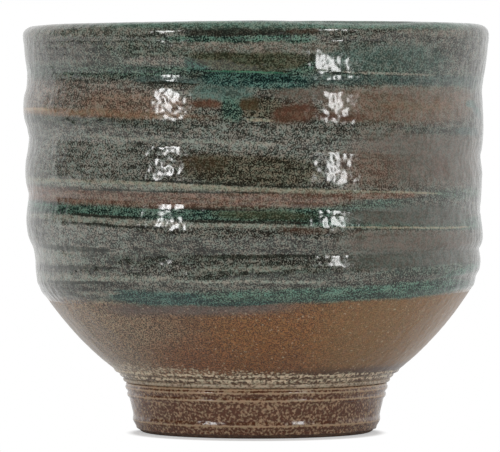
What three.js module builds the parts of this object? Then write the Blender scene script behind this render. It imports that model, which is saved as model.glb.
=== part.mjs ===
// A stoneware tea bowl: a thrown body, a foot ring luted under it with slip, and its coats of glaze.
// Millimetres, +Z up. The origin is the centre of the foot's resting face.
import * as THREE from "three";

// Driving dimensions of the fired clay, without its glaze
const BOWL_HEIGHT = 93.4; // from the resting face to the top of the lip
const LIP_DIAMETER = 106.6; // outside, where the wall meets the rounded lip
const LIP_THICKNESS = 4.2;
const FLARE_HEIGHT = 24; // the top of the wall opens to the lip over this height
const WALL_INSET = 1.6; // the grooves of the upright wall lie this far in from the lip
const WALL_THICKNESS = 5; // measured from those grooves
const SHOULDER_INSET = 1.8; // the wall tucks in this much more where it turns under
const SHOULDER_HEIGHT = 34.2;
const SHOULDER_RISE = 16; // the wall stands upright this far above the shoulder
const BELLY_BULGE = 1.3; // how far the lower wall stands out of a straight cone
const FLOOR_THICKNESS = 6.5;
const WELL_ROUNDING = 21.5; // the inside rounds from floor to wall over this height

// Throwing rings: the potter's fingers leave grooves that open out towards the lip
const RING_COUNT = 5; // from the shoulder up; the lip is the crest of the last one
const RING_GROWTH = 1.24; // each ring is this much taller than the one below
const RING_DEPTH = 0.7;

// Foot ring, thrown on a coil and luted to the body
const FOOT_HEIGHT = 12; // from the resting face to the body, slip included
const FOOT_TOP_DIAMETER = 60.2;
const FOOT_BASE_DIAMETER = 54.6; // outside, above the rounded edge
const FOOT_TOP_THICKNESS = 8.5;
const FOOT_LAND_WIDTH = 4.6; // width of the flat resting face
const FOOT_EDGE_RADIUS = 1.3;
const FOOT_RIDGE_COUNT = 3;
const FOOT_RIDGE_DEPTH = 0.35;

// Slip, glaze and the way they seat
const SLIP_THICKNESS = 0.7; // the luting slip between the foot ring and the body
const GLAZE_THICKNESS = 0.5;
const BAND_THICKNESS = 0.45; // a copper band at its thickest, over the glaze
const BAND_EDGE = 0.08; // a copper band at its edges
const BAND_WIDTH = 4.4;
const SEAT_GAP = 0.05; // between a coat and what it is laid on
const COAT_SETBACK = 1; // a coat stops this far from the luted seam and the foot's edge

// Smoothness of the solids
const SIDES = 36;
const BELLY_STEPS = 5;
const LIP_STEPS = 6;
const WELL_STEPS = 9;

const point = (radius, height) => new THREE.Vector2(radius, height);
const steps = (count) => Array.from({ length: count + 1 }, (_, i) => i / count);
const share = (value) => THREE.MathUtils.clamp(value, 0, 1);

// Outside of the body, from the luted seam up to the lip

const lipRadius = LIP_DIAMETER / 2;
const wallRadius = lipRadius - WALL_INSET;
const shoulderRadius = wallRadius - SHOULDER_INSET;
const footTopRadius = FOOT_TOP_DIAMETER / 2;
const wallTop = BOWL_HEIGHT - LIP_THICKNESS / 2;

// Rings in the measure of the lowest one, from the shoulder to a groove counted from there
const ringsBelow = (index) => (RING_GROWTH ** index - 1) / (RING_GROWTH - 1);
const lipCrest = (ringsBelow(RING_COUNT - 1) + ringsBelow(RING_COUNT)) / 2;
const firstRing = (wallTop - SHOULDER_HEIGHT) / lipCrest;
const grooveHeight = (index) => SHOULDER_HEIGHT + firstRing * ringsBelow(index);

// The upright wall in its grooves: it tucks in to the shoulder and flares to the lip
function grooveRadius(height) {
  const tuck = 1 - share((height - SHOULDER_HEIGHT) / SHOULDER_RISE);
  const flare = share((height - wallTop + FLARE_HEIGHT) / FLARE_HEIGHT);
  return wallRadius - SHOULDER_INSET * tuck ** 2 + (WALL_INSET - RING_DEPTH) * flare ** 2;
}

// A point of a ring: a round crest between sharp grooves
function ringPoint(index, height) {
  const between = (height - grooveHeight(index)) / (grooveHeight(index + 1) - grooveHeight(index));
  return point(grooveRadius(height) + RING_DEPTH * Math.sin(Math.PI * between), height);
}

// One ring of the wall from its lower groove: the edges of the copper bands are stations too
function ringPoints(index) {
  const low = grooveHeight(index);
  const high = Math.min(grooveHeight(index + 1), wallTop);
  const heights = [low, low + BAND_WIDTH / 2, (low + high) / 2, high - BAND_WIDTH / 2];
  return heights.map((height) => ringPoint(index, height));
}

// The lower wall, a shallow curve from the seam to the shoulder
function lowerWallPoints() {
  const seam = point(footTopRadius, FOOT_HEIGHT);
  const shoulder = point(shoulderRadius, SHOULDER_HEIGHT);
  const outward = point(shoulder.y - seam.y, seam.x - shoulder.x).normalize();
  const control = seam.clone().add(shoulder).multiplyScalar(0.5).addScaledVector(outward, 2 * BELLY_BULGE);
  const curve = new THREE.QuadraticBezierCurve(seam, control, shoulder);
  const first = COAT_SETBACK / curve.getLength();
  const last = 1 - BAND_WIDTH / 2 / curve.getLength();
  const between = steps(BELLY_STEPS).map((s) => THREE.MathUtils.lerp(first, last, s));
  return [seam, ...between.map((s) => curve.getPointAt(s))];
}

// The rounded lip, from the outside over the top to the inside
function lipPoints() {
  const radius = LIP_THICKNESS / 2;
  const curve = new THREE.EllipseCurve(lipRadius - radius, wallTop, radius, radius, 0, Math.PI);
  return steps(LIP_STEPS).map((s) => curve.getPoint(s));
}

// The lining, from under the lip down the wall and round to the middle of the floor
const floorTop = FOOT_HEIGHT + FLOOR_THICKNESS;

function liningPoints() {
  const wellRadius = wallRadius - WALL_THICKNESS;
  const centre = floorTop + WELL_ROUNDING;
  const curve = new THREE.EllipseCurve(0, centre, wellRadius, WELL_ROUNDING, 0, -Math.PI / 2, true);
  const round = steps(WELL_STEPS).map((s) => curve.getPoint(s));
  return [...round.slice(0, -1), point(0, floorTop)];
}

// The glazed outline of the body in one line, and the places along it where coats begin and end

const lowerWall = lowerWallPoints();
const wall = Array.from({ length: RING_COUNT }, (_, index) => ringPoints(index)).flat();
const lip = lipPoints();
const outline = [...lowerWall, ...wall, ...lip, ...liningPoints()];

const RING_STATIONS = wall.length / RING_COUNT;
const COAT_START = 1; // the seam itself stays clear for the slip
const SHOULDER = lowerWall.length;
const LIP_START = SHOULDER + wall.length;
const LIP_END = LIP_START + lip.length - 1;
const FLOOR_CENTRE = outline.length - 1;

// Where a groove lies in the outline; the one after the last ring is the start of the lip
const groove = (index) => SHOULDER + index * RING_STATIONS;

// Unit normal of a line of points, pointing off the clay: to the right of the way it runs
function normalAt(line, i) {
  if (line[i].x === 0) return point(0, 1);
  const along = line[Math.min(i + 1, line.length - 1)].clone().sub(line[Math.max(i - 1, 0)]);
  return point(along.y, -along.x).normalize();
}

// The points of a stretch of a line, raised off the clay by one height or one height for each point
function raised(line, first, last, ...heights) {
  const stretch = line.slice(first, last + 1);
  return stretch.map((p, i) => {
    const height = heights[Math.min(i, heights.length - 1)];
    return p.clone().addScaledVector(normalAt(line, first + i), height);
  });
}

// A section between the line that a coat lies on and the line of its face; it may end on the axis
function section(under, over) {
  const back = under.slice().reverse();
  return back[0].x === 0 ? [...back, ...over] : [...over, ...back, over[0]];
}

// A coat of glaze over a stretch of a line
function coat(line, first, last) {
  const under = raised(line, first, last, SEAT_GAP);
  const over = raised(line, first, last, SEAT_GAP + GLAZE_THICKNESS);
  return section(under, over);
}

// A copper band over the glaze: thickest in its groove and thin at both edges
function copperBand(index) {
  const seat = 2 * SEAT_GAP + GLAZE_THICKNESS;
  const range = [groove(index) - 1, groove(index) + 1];
  const under = raised(outline, ...range, seat);
  const over = raised(outline, ...range, seat + BAND_EDGE, seat + BAND_THICKNESS, seat + BAND_EDGE);
  return section(under, over);
}

// Foot ring

const ringTop = FOOT_HEIGHT - SLIP_THICKNESS;
const footBaseRadius = FOOT_BASE_DIAMETER / 2;
const footBore = footTopRadius - FOOT_TOP_THICKNESS;

// The ridged outside of the foot ring, from its rounded edge up to the slip
function footOutside() {
  return steps(2 * FOOT_RIDGE_COUNT).map((s, i) => {
    const ridge = i % 2 ? FOOT_RIDGE_DEPTH : 0;
    const radius = THREE.MathUtils.lerp(footBaseRadius, footTopRadius - FOOT_RIDGE_DEPTH, s) + ridge;
    return point(radius, THREE.MathUtils.lerp(FOOT_EDGE_RADIUS, ringTop, s));
  });
}

// The whole section of the foot ring: resting face, rounded edge, outside, top and bore
function footRingSection() {
  const r = FOOT_EDGE_RADIUS;
  const edge = new THREE.EllipseCurve(footBaseRadius - r, r, r, r, -Math.PI / 2, 0);
  const landInside = point(footBaseRadius - r - FOOT_LAND_WIDTH, 0);
  const rounded = steps(3).map((s) => edge.getPoint(s));
  rounded[0].y = 0;
  const outside = footOutside();
  return [landInside, ...rounded.slice(0, -1), ...outside, point(footBore, ringTop), landInside];
}

// The foot's glaze stops short of the rounded edge and of the slip
function footGlazeSection() {
  const outside = footOutside();
  return coat(outside, 0, outside.length - 1);
}

// The luting slip fills the seam and squeezes out into a small bead between the coats
function slipSection() {
  const bead = point(footTopRadius + GLAZE_THICKNESS, FOOT_HEIGHT - SLIP_THICKNESS / 2);
  const low = point(footTopRadius - FOOT_RIDGE_DEPTH, ringTop);
  const high = point(footTopRadius, FOOT_HEIGHT);
  const bore = point(footBore, ringTop);
  return [bore, low, bead, high, point(footBore, FOOT_HEIGHT), bore];
}

// The body: its glazed outline, closed along the flat underside
function bodySection() {
  return [point(0, FOOT_HEIGHT), ...outline];
}

// Materials

const finish = (color, roughness) => new THREE.MeshStandardMaterial({ color, roughness, metalness: 0 });

// Assembly: every piece is a solid of revolution about the bowl's axis

const bowl = new THREE.Group();
bowl.name = "tea_bowl";
bowl.rotation.x = Math.PI / 2; // a lathe turns about Y, and the bowl stands along Z

function addPiece(name, profile, material) {
  const mesh = new THREE.Mesh(new THREE.LatheGeometry(profile, SIDES), material);
  mesh.name = name;
  bowl.add(mesh);
}

addPiece("bowl_body", bodySection(), finish(0x7a5a42, 0.8));
addPiece("foot_ring", footRingSection(), finish(0x6f4a33, 0.75));
addPiece("luting_slip", slipSection(), finish(0xa8937c, 0.7));
addPiece("iron_slip_coat", coat(outline, COAT_START, SHOULDER), finish(0x7a5335, 0.45));
addPiece("ash_glaze_coat", coat(outline, SHOULDER, LIP_START), finish(0x5d6058, 0.25));
addPiece("lip_glaze", coat(outline, LIP_START, LIP_END), finish(0x55665c, 0.2));
addPiece("liner_glaze", coat(outline, LIP_END, FLOOR_CENTRE), finish(0x55594c, 0.2));
addPiece("foot_glaze", footGlazeSection(), finish(0x6a4a38, 0.25));

// Copper glaze pools in some of the grooves, counted from the shoulder, and under the lip
const middleGroove = Math.floor(RING_COUNT / 2);
const COPPER_BANDS = { lower: 0, middle: middleGroove, upper: RING_COUNT - 1, lip: RING_COUNT };

for (const [place, index] of Object.entries(COPPER_BANDS)) {
  addPiece(`copper_band_${place}`, copperBand(index), finish(0x2f4f48, 0.15));
}

export default bowl;
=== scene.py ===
"""A glazed stoneware tea bowl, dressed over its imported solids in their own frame."""

import logging
import math
from dataclasses import dataclass, fields, replace
from enum import Enum

import bpy
from mathutils import Color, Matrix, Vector


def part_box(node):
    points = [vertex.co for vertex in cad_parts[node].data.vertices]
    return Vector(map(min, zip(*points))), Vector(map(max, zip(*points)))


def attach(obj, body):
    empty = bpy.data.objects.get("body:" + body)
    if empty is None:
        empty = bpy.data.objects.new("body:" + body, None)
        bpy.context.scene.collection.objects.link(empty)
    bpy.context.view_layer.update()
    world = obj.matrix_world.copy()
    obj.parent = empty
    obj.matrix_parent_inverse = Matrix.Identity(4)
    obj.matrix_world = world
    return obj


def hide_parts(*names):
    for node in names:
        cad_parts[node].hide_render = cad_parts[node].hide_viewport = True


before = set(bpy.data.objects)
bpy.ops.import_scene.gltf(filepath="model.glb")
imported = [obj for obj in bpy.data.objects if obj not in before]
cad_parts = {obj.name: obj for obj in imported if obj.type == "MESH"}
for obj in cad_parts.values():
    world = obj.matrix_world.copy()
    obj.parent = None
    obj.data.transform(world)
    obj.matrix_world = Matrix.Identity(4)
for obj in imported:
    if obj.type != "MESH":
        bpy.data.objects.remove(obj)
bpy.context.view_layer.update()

log = logging.getLogger("tea_bowl")

MM = 0.001
FULL_CHANNEL = 255
Socket = bpy.types.NodeSocket
Material = bpy.types.Material
Piece = bpy.types.Object
Colour = tuple[float, float, float, float]
Pair = tuple[float, float]
Points = list[Pair]
Feed = Socket | float | int | str | tuple | Material
Feeds = dict[str | int, Feed]
Outputs = bpy.types.bpy_prop_collection


# Colours


def seen(red: int, green: int, blue: int) -> Colour:
    """A colour as the eye sees it, as the linear colour that a shader takes.

    Args:
        red, green, blue: the colour's channels, 0 to 255.

    Returns:
        The linear colour with full alpha.
    """
    shares = [channel / FULL_CHANNEL for channel in (red, green, blue)]
    return (*Color(shares).from_srgb_to_scene_linear(), 1.0)


class Glaze(Enum):
    """Glaze colours: each is a ground, the flecks that float in it, and the share that they cover."""

    ASH = ((36, 35, 29), (130, 131, 122), 0.44)
    LIGHT_ASH = ((48, 48, 42), (147, 148, 140), 0.48)
    DARK_ASH = ((36, 38, 32), (110, 116, 106), 0.41)
    PALE_ASH = ((80, 81, 73), (148, 149, 138), 0.56)
    WHITE_ASH = ((84, 86, 79), (148, 150, 141), 0.57)
    GREEN_ASH = ((42, 50, 43), (122, 133, 121), 0.46)
    PINK_ASH = ((76, 73, 65), (140, 137, 127), 0.49)
    SMOOTH_PINK = ((88, 80, 71), (113, 106, 97), 0.5)
    SMOOTH_GREY = ((77, 77, 70), (102, 103, 96), 0.5)
    BLUE_GREY = ((46, 60, 57), (98, 113, 107), 0.46)
    SEA_GREY = ((62, 77, 71), (104, 124, 116), 0.5)
    LIP_GREEN = ((56, 76, 66), (122, 146, 133), 0.52)
    TEAL = ((13, 32, 28), (104, 132, 117), 0.43)
    BLUE_TEAL = ((18, 43, 42), (100, 130, 120), 0.43)
    DEEP_TEAL = ((10, 30, 29), (84, 118, 107), 0.38)
    TURQUOISE = ((14, 35, 29), (108, 140, 124), 0.45)
    BRIGHT_GREEN = ((44, 86, 68), (80, 124, 101), 0.52)
    OLIVE = ((42, 43, 29), (96, 99, 80), 0.43)
    DARK_OLIVE = ((34, 32, 21), (120, 117, 101), 0.43)
    GREEN_OLIVE = ((44, 50, 35), (94, 102, 82), 0.42)
    BROWN_OLIVE = ((62, 50, 33), (86, 75, 54), 0.4)
    DARK_LINE = ((36, 38, 32), (80, 84, 74), 0.34)
    TERRACOTTA = ((93, 77, 64), (127, 114, 101), 0.5)
    ORANGE = ((98, 77, 58), (126, 106, 84), 0.5)
    ORANGE_LINE = ((100, 79, 62), (148, 124, 102), 0.5)
    CREAM_ORANGE = ((138, 113, 90), (172, 152, 126), 0.6)
    PINK_SPECK = ((66, 60, 54), (154, 144, 134), 0.48)
    RUST_SPECK = ((74, 59, 49), (146, 128, 113), 0.48)
    RUST = ((80, 55, 42), (108, 83, 67), 0.42)
    RED_BROWN = ((79, 58, 47), (138, 119, 105), 0.48)
    CREAM = ((110, 106, 90), (156, 152, 134), 0.56)
    SANDY = ((64, 37, 19), (144, 106, 73), 0.48)
    DARK_SAND = ((60, 38, 25), (100, 71, 50), 0.45)
    RED_SAND = ((66, 35, 17), (152, 103, 67), 0.48)
    ORANGE_SAND = ((80, 45, 16), (156, 107, 58), 0.48)
    GREY_SAND = ((46, 30, 19), (171, 146, 119), 0.49)
    OLIVE_SAND = ((110, 78, 42), (147, 113, 73), 0.5)
    MAUVE_SAND = ((76, 62, 55), (118, 104, 96), 0.48)

    def colours(self) -> Feeds:
        """The glaze's colours and cover, by the names of the sockets that they feed."""
        ground, fleck, cover = self.value
        return {"Ground": seen(*ground), "Fleck": seen(*fleck), "Cover": cover}


# Node trees


SOCKET_KINDS = {float: "Float", int: "Int"}


def label(name: str) -> str:
    """A field's name as a socket's name: half_height becomes Half height."""
    return name.replace("_", " ").capitalize()


def number_sockets(sizes: type) -> dict[str, str]:
    """Names and kinds of the sockets that take the numbers of a dataclass."""
    return {label(f.name): SOCKET_KINDS[f.type] for f in fields(sizes) if f.type in SOCKET_KINDS}


def numbers(sizes: object) -> Feeds:
    """The numbers of a dataclass, by the names of the sockets that take them."""
    return {label(f.name): getattr(sizes, f.name) for f in fields(sizes) if f.type in SOCKET_KINDS}


class NodeWriter:
    """Short calls that place nodes in one tree and link them."""

    def __init__(self, tree: bpy.types.NodeTree) -> None:
        """Takes the tree to write in."""
        self.tree = tree

    def feed(self, socket: Socket, value: Feed) -> None:
        """Links a socket into another, or sets its value.

        Args:
            socket: the input to feed.
            value: the socket that it takes, or a plain value.
        """
        if isinstance(value, Socket):
            self.tree.links.new(value, socket)
        else:
            socket.default_value = value

    def add(self, kind: str, inputs: Feeds | None = None, **settings: object) -> bpy.types.Node:
        """Places a node.

        Args:
            kind: the node's type.
            inputs: values or sockets for its inputs, by name or index.
            settings: the node's own properties.

        Returns:
            The new node.
        """
        node = self.tree.nodes.new(kind)
        for name, value in settings.items():
            setattr(node, name, value)
        for key, value in (inputs or {}).items():
            self.feed(node.inputs[key], value)
        return node

    def math(self, operation: str, *values: Feed) -> Socket:
        """One step of arithmetic on sockets or numbers."""
        return self.add("ShaderNodeMath", dict(enumerate(values)), operation=operation).outputs[0]

    def chain(self, operation: str, values: tuple[Feed, ...]) -> Socket:
        """One operation on several values, taken one after another.

        Args:
            operation: the operation's name.
            values: sockets or numbers.

        Returns:
            The result.
        """
        result = values[0]
        for value in values[1:]:
            result = self.math(operation, result, value)
        return result

    def total(self, *values: Feed) -> Socket:
        """The sum of several values."""
        return self.chain("ADD", values)

    def product(self, *values: Feed) -> Socket:
        """The product of several values."""
        return self.chain("MULTIPLY", values)

    def ramp(self, value: Feed, low: Feed, high: Feed, start: Feed = 0.0, end: Feed = 1.0,
             **settings: object) -> Socket:
        """A straight ramp of value from start, at low, to end, at high."""
        inputs = {"Value": value, "From Min": low, "From Max": high, "To Min": start, "To Max": end}
        return self.add("ShaderNodeMapRange", inputs, **settings).outputs[0]

    def smooth(self, *values: Feed) -> Socket:
        """The same ramp as a smooth step."""
        return self.ramp(*values, interpolation_type="SMOOTHSTEP", clamp=False)

    def vector(self, x: Feed, y: Feed, z: Feed) -> Socket:
        """A vector from its three parts."""
        return self.add("ShaderNodeCombineXYZ", {0: x, 1: y, 2: z}).outputs[0]

    def parts(self, vector: Socket) -> list[Socket]:
        """The three parts of a vector."""
        return list(self.add("ShaderNodeSeparateXYZ", {0: vector}).outputs)

    def scaled(self, vector: Socket, by: Feed) -> Socket:
        """A vector times one number."""
        return self.add("ShaderNodeVectorMath", {0: vector, "Scale": by}, operation="SCALE").outputs[0]

    def noise(self, vector: Feed, scale: float, detail: float = 2.0) -> Socket:
        """Smooth noise about 0.5 whose grains are about one over scale across."""
        inputs = {"Vector": vector, "Scale": scale, "Detail": detail, "Roughness": 0.5}
        return self.add("ShaderNodeTexNoise", inputs, noise_dimensions="3D").outputs[0]

    def swing(self, vector: Feed, scale: float, detail: float = 2.0) -> Socket:
        """The same noise, about 0."""
        return self.math("SUBTRACT", self.noise(vector, scale, detail), 0.5)

    def blend(self, share: Feed, first: Feed, second: Feed, kind: str = "MIX") -> Socket:
        """A colour between two others, or their product."""
        inputs = {0: share, 6: first, 7: second}
        return self.add("ShaderNodeMix", inputs, data_type="RGBA", blend_type=kind).outputs[2]

    def between(self, share: Feed, first: Feed, second: Feed) -> Socket:
        """A value between two others."""
        return self.add("ShaderNodeMix", {0: share, 2: first, 3: second}, data_type="FLOAT").outputs[0]

    def sockets(self, in_out: str, names: dict[str, str]) -> None:
        """Gives a group tree its named inputs or outputs, each of a kind such as Float or Color."""
        for name, kind in names.items():
            self.tree.interface.new_socket(name=name, in_out=in_out, socket_type=f"NodeSocket{kind}")


# Sizes and outlines, in millimetres


def clamped(share: float) -> float:
    """A share held between 0 and 1."""
    return min(max(share, 0.0), 1.0)


def eased(value: float, low: float, high: float) -> float:
    """A smooth step from 0, at low, to 1, at high."""
    share = clamped((value - low) / (high - low))
    return share * share * (3 - 2 * share)


@dataclass(frozen=True)
class RingRule:
    """Throwing rings: each is taller than the one below, and they lean a little across the bowl."""

    count: int = 5
    growth: float = 1.24
    depth: float = 0.8
    groove_softness: float = 0.012
    crest_skew: float = 0.8
    lean_low: float = -1.4
    lean_middle: float = 2.1
    lean_lip: float = 0.3
    lean_turns: Pair = (38.0, 48.0)
    lean_fades: Pair = (74.0, 92.0)

    def rings_below(self, index: float) -> float:
        """Rings from the shoulder to a groove, in the measure of the lowest ring."""
        return (self.growth**index - 1) / (self.growth - 1)

    def lean(self, height: float) -> float:
        """How far a ring drops a quarter turn to the right of the front.

        Args:
            height: the ring's height, about.

        Returns:
            The drop.
        """
        turn = eased(height, *self.lean_turns) * (self.lean_middle - self.lean_low)
        fade = eased(height, *self.lean_fades) * (self.lean_lip - self.lean_middle)
        return self.lean_low + turn + fade


@dataclass(frozen=True)
class BowlSizes:
    """Sizes of the fired clay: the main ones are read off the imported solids."""

    clay_top: float
    lip_radius: float
    foot_height: float
    seam_radius: float
    shoulder_height: float
    floor_top: float
    rings: RingRule = RingRule()
    lip_thickness: float = 3.2
    flare_height: float = 24.0
    wall_inset: float = 1.75
    wall_thickness: float = 5.0
    shoulder_inset: float = 1.6
    shoulder_rise: float = 16.0
    belly_bulge: float = 1.35
    seam_lift: float = 0.9
    seam_drop: float = 1.7
    seam_reach: float = 2.6
    seam_tuck: float = 0.2
    seam_ridges: tuple[float, ...] = (13.4, 14.5)
    seam_ridge_depth: float = 0.3
    seam_ridge_width: float = 0.3
    well_rounding: float = 21.5
    glaze: float = 0.5
    wobble: float = 0.45
    line_depth: float = 0.08
    peel: float = 0.07
    step: float = 0.4

    @classmethod
    def from_frame(cls) -> "BowlSizes":
        """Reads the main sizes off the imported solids.

        Returns:
            The bowl's sizes.
        """
        body_low, body_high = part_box("bowl_body")
        slip_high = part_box("luting_slip")[1]
        return cls(
            clay_top=body_high[2] / MM,
            lip_radius=body_high[0] / MM,
            foot_height=body_low[2] / MM,
            seam_radius=slip_high[0] / MM - cls.glaze,
            shoulder_height=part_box("iron_slip_coat")[1][2] / MM,
            floor_top=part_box("liner_glaze")[0][2] / MM,
        )

    @property
    def wall_top(self) -> float:
        """Height where the wall meets the rounded lip."""
        return self.clay_top - self.lip_thickness / 2

    @property
    def wall_radius(self) -> float:
        """Radius in the grooves of the upright wall."""
        return self.lip_radius - self.wall_inset

    @property
    def first_ring(self) -> float:
        """Height of the lowest ring: the lip is the crest of the last one.

        Returns:
            The height.
        """
        last = self.rings.count
        crest = (self.rings.rings_below(last - 1) + self.rings.rings_below(last)) / 2
        return (self.wall_top - self.shoulder_height) / crest

    def groove_height(self, index: int) -> float:
        """Height of a groove, counted from the shoulder."""
        return self.shoulder_height + self.first_ring * self.rings.rings_below(index)

    def groove_radius(self, height: float) -> float:
        """Radius of the upright wall in its grooves.

        Args:
            height: where on the wall.

        Returns:
            The radius.
        """
        tuck = 1 - clamped((height - self.shoulder_height) / self.shoulder_rise)
        flare = clamped((height - self.wall_top + self.flare_height) / self.flare_height)
        opening = self.wall_inset - self.rings.depth
        return self.wall_radius - self.shoulder_inset * tuck**2 + opening * flare**2

    def relief(self) -> dict[str, float]:
        """Relief of the skins that follow the wall: its rings, and the marks of the hand.

        Returns:
            The relief, by the names of a skin's sizes.
        """
        return {
            "ring_depth": self.rings.depth, "wobble": self.wobble, "line_depth": self.line_depth,
            "peel": self.peel,
        }


def steps(length: float, size: float) -> list[float]:
    """Even shares from 0 to 1 over a length, in steps of about one size."""
    count = max(2, math.ceil(length / size))
    return [i / count for i in range(count + 1)]


def bend(start: Vector, corner: Vector, end: Vector, step: float) -> list[Vector]:
    """Points along a curve that leaves its start, and reaches its end, in line with one corner.

    Args:
        start, corner, end: the curve's three points.
        step: distance between points.

    Returns:
        The points, both ends included.
    """
    length = (corner - start).length + (end - corner).length
    shares = steps(length, step)
    return [start * (1 - t) ** 2 + corner * 2 * t * (1 - t) + end * t**2 for t in shares]


def arc(centre: Pair, radii: Pair, start: float, end: float, step: float) -> Points:
    """Points along part of an ellipse.

    Args:
        centre: its centre.
        radii: its radii along radius and height.
        start, end: angles in degrees, from the outward direction.
        step: distance between points.

    Returns:
        The points, both ends included.
    """
    length = math.radians(abs(end - start)) * max(radii)
    angles = [math.radians(start + (end - start) * share) for share in steps(length, step)]
    return [(centre[0] + radii[0] * math.cos(a), centre[1] + radii[1] * math.sin(a)) for a in angles]


def line_length(points: Points) -> float:
    """Length of a line of points."""
    return sum(math.dist(a, b) for a, b in zip(points, points[1:]))


def ridged(height: float, ridges: tuple[float, ...], width: float) -> float:
    """Share of a ridge's full depth at a height, among several ridges of one width."""
    return sum(math.exp(-(((height - ridge) / width) ** 2)) for ridge in ridges)


class BowlOutline:
    """The bowl's section without its rings, in one line from the foot seam over the lip to the floor."""

    def __init__(self, sizes: BowlSizes) -> None:
        """Draws the line and measures its landmarks along it.

        Args:
            sizes: the bowl's sizes.
        """
        self.sizes = sizes
        stretches = [self._lower_wall(), self._wall(), self._lip(), self._lining()]
        self.points: Points = [stretches[0][0]]
        ends = []
        for stretch in stretches:
            self.points += stretch[1:]
            ends.append(line_length(self.points))
        self.shoulder, self.wall_top, self.lip_end, self.floor_centre = ends

    def _lower_wall(self) -> Points:
        """The shallow curve from the rounded seam, over its turning ridges, up to the shoulder.

        Returns:
            Its points, upwards.
        """
        s = self.sizes
        seam = Vector((s.seam_radius, s.foot_height + s.seam_lift))
        shoulder = Vector((s.wall_radius - s.shoulder_inset, s.shoulder_height))
        rise = shoulder - seam
        outward = Vector((rise.y, -rise.x)).normalized()
        control = (seam + shoulder) / 2 + outward * 2 * s.belly_bulge
        leave = (control - seam).normalized()
        join = seam + leave * s.seam_reach
        cove = bend(seam - Vector((s.seam_tuck, s.seam_drop)), seam, join, s.step / 4)
        wall = bend(join, control, shoulder, s.step / 2)
        points = []
        for point in [*cove, *wall[1:]]:
            depth = s.seam_ridge_depth * ridged(point.y, s.seam_ridges, s.seam_ridge_width)
            points.append(tuple(point + outward * depth))
        return points

    def _wall(self) -> Points:
        """The upright wall, in its grooves.

        Returns:
            Its points, upwards.
        """
        s = self.sizes
        rise = s.wall_top - s.shoulder_height
        heights = [s.shoulder_height + rise * t for t in steps(rise, s.step)]
        return [(s.groove_radius(height), height) for height in heights]

    def _lip(self) -> Points:
        """The rounded lip.

        Returns:
            Its points, from the outside in.
        """
        s = self.sizes
        radius = s.lip_thickness / 2
        centre = (s.groove_radius(s.wall_top) - radius, s.wall_top)
        return arc(centre, (radius, radius), 0, 180, s.step / 2)

    def _lining(self) -> Points:
        """The inside, down the wall and round to the middle of the floor.

        Returns:
            Its points, downwards.
        """
        s = self.sizes
        well_radius = s.wall_radius - s.wall_thickness
        turn = s.floor_top + s.well_rounding
        top = Vector((s.groove_radius(s.wall_top) - s.lip_thickness, s.wall_top))
        side = Vector((well_radius, turn))
        wall = [tuple(top.lerp(side, t)) for t in steps((side - top).length, s.step)]
        well = arc((0, turn), (well_radius, s.well_rounding), 0, -90, s.step)
        return [*wall, *well[1:-1], (0.0, s.floor_top)]


# Thrown shapes by geometry nodes


class Build(Enum):
    """How a skin is closed: over a hidden bed, or by its own outline."""

    COAT = "coat"
    SOLID = "solid"


@dataclass(frozen=True)
class SkinSizes:
    """One thrown skin: the stretch of outline that it covers, and its relief, in millimetres."""

    start: float
    span: float
    around: int
    along: int
    height: float = 0.0
    bed: float = 0.5
    lower_feather: float = 2.0
    upper_feather: float = 2.0
    ragged: float = 0.0
    pool: float = 0.0
    lean: float = 0.0
    ring_depth: float = 0.0
    line_depth: float = 0.0
    wobble: float = 0.0
    peel: float = 0.0
    spiral_depth: float = 0.0
    spiral_pitch: float = 9.0
    build: Build = Build.COAT


@dataclass(frozen=True)
class Swelling:
    """A place where the hand pressed the wall out or in: millimetres, and degrees from the front."""

    level: float
    half_height: float
    centre: float
    reach: float
    depth: float


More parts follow.
